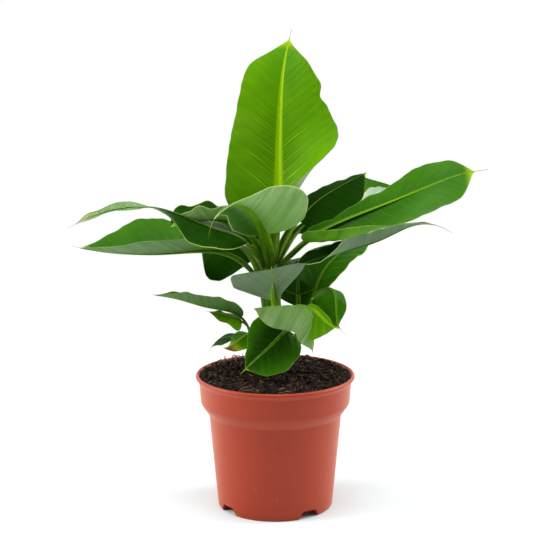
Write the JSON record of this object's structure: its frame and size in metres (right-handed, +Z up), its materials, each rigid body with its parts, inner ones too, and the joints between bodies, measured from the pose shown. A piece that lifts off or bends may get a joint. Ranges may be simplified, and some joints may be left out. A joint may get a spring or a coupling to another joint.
{
  "type": "potted banana plant",
  "caption": "Young banana plant with broad arching leaves on a clump of short stems, in a round tapered nursery pot filled with dark soil.",
  "frame": {"origin": "on the pot's axis, in the plane of its flat under side", "axes": "+Z up along the pot's axis, -Y to the front of the plant, +X to its right seen from the front"},
  "size_m": [0.3012, 0.2024, 0.3552],
  "materials": {
    "pot_plastic": "thin moulded terracotta-coloured plastic, satin",
    "peat": "loose dark peat with fibres, dull",
    "stem": "smooth green leaf sheaths, satin",
    "leaf_bright": "fresh green blade with fine slanting veins, glossy above",
    "leaf_dark": "deep green blade with fine slanting veins, glossy above",
    "leaf_pale": "grey green under side of a blade, matt"
  },
  "bodies": {
    "root": {"pot": "pot_plastic", "soil": "peat", "trunk": "stem", "sucker_left": "stem", "sucker_front": "stem", "sucker_right": "stem", "leaf_upright": "leaf_bright", "leaf_front": "leaf_pale", "leaf_left_folded": "leaf_dark", "leaf_left_long": "leaf_dark", "leaf_left_low": "leaf_bright", "leaf_left_round": "leaf_dark", "leaf_right_back": "leaf_dark", "leaf_right_dark": "leaf_dark", "leaf_right_big": "leaf_bright", "leaf_right_thin": "leaf_dark", "leaf_back_tall": "leaf_dark", "leaf_back_left": "leaf_dark", "leaf_under_front": "leaf_pale", "leaf_spear": "leaf_bright", "leaf_arched": "leaf_pale", "leaf_small_right": "leaf_bright", "leaf_hanging": "leaf_bright", "leaf_low_left": "leaf_bright", "leaf_brown_tip": "leaf_bright", "leaf_small_dark": "leaf_dark", "leaf_narrow_left": "leaf_dark", "leaf_under_right": "leaf_bright", "leaf_striped": "leaf_dark", "leaf_back_low": "leaf_dark"}
  },
  "joints": []
}
